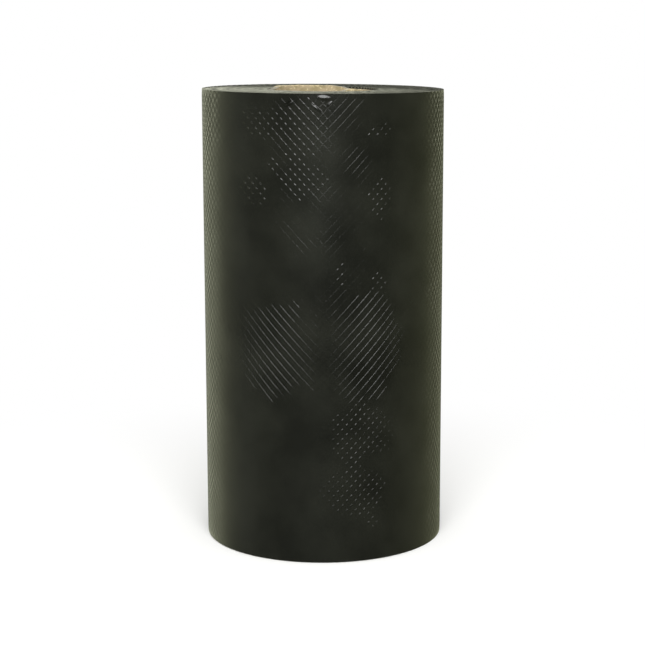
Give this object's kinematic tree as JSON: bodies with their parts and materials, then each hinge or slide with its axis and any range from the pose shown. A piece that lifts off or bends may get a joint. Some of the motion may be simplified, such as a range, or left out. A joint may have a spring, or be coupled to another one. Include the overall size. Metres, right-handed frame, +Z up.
{
  "type": "roll of damp proof course",
  "caption": "Roll of black diamond-embossed plastic sheet wound on a cardboard tube, standing on its end; laid in walls to keep damp from rising.",
  "frame": {"origin": "on the floor plane, on the axis of the roll", "axes": "+Z up along the axis of the roll; -Y towards the front that the picture shows; the free edge of the sheet is at the back, +Y"},
  "size_m": [0.1595, 0.1599, 0.3018],
  "materials": {
    "embossed_polyethylene": "satin",
    "kraft_board": "matte"
  },
  "bodies": {
    "root": {"sheet_roll": "embossed_polyethylene", "core_tube": "kraft_board"}
  },
  "joints": []
}
